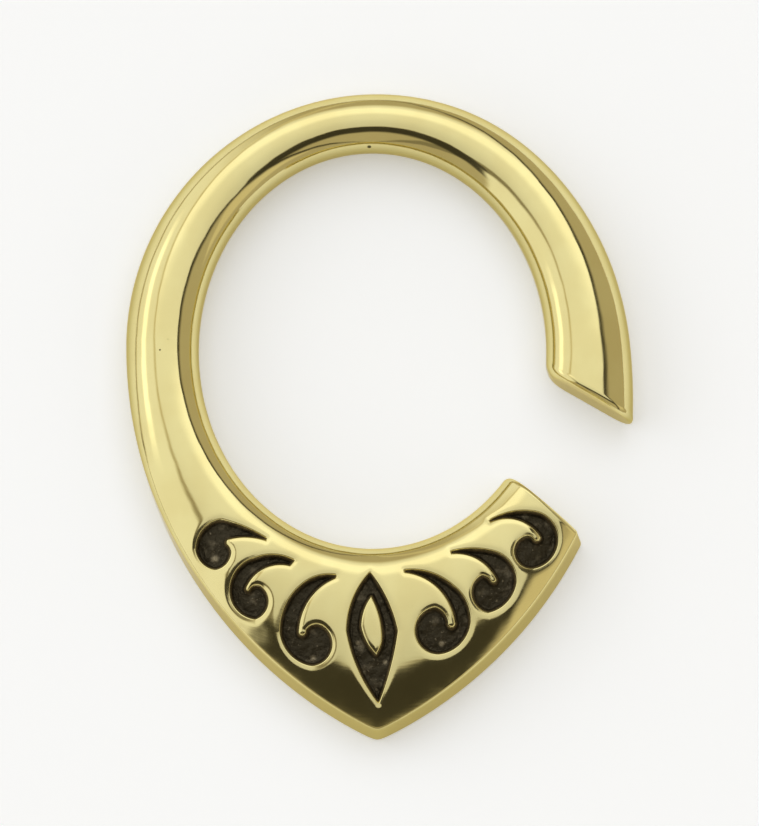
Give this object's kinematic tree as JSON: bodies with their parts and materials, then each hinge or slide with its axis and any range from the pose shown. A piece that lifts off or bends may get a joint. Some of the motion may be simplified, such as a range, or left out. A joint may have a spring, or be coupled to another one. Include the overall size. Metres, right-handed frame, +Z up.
{
  "type": "ear weight",
  "caption": "Open ring of round bar that widens into a pointed panel with sunk scrolls and a leaf, worn through a stretched ear lobe.",
  "frame": {"origin": "middle of the weight's outline seen from above, on the surface that its flat back lies on", "axes": "+Z up out of the carved face, +Y from the panel's tip to the ring's top, +X to the side where the ring is open"},
  "size_m": [0.0424, 0.0544, 0.0062],
  "materials": {
    "polished_brass": "polished, with the sunk carving blackened and left rough"
  },
  "bodies": {
    "root": {"ear_weight": "polished_brass"}
  },
  "joints": []
}
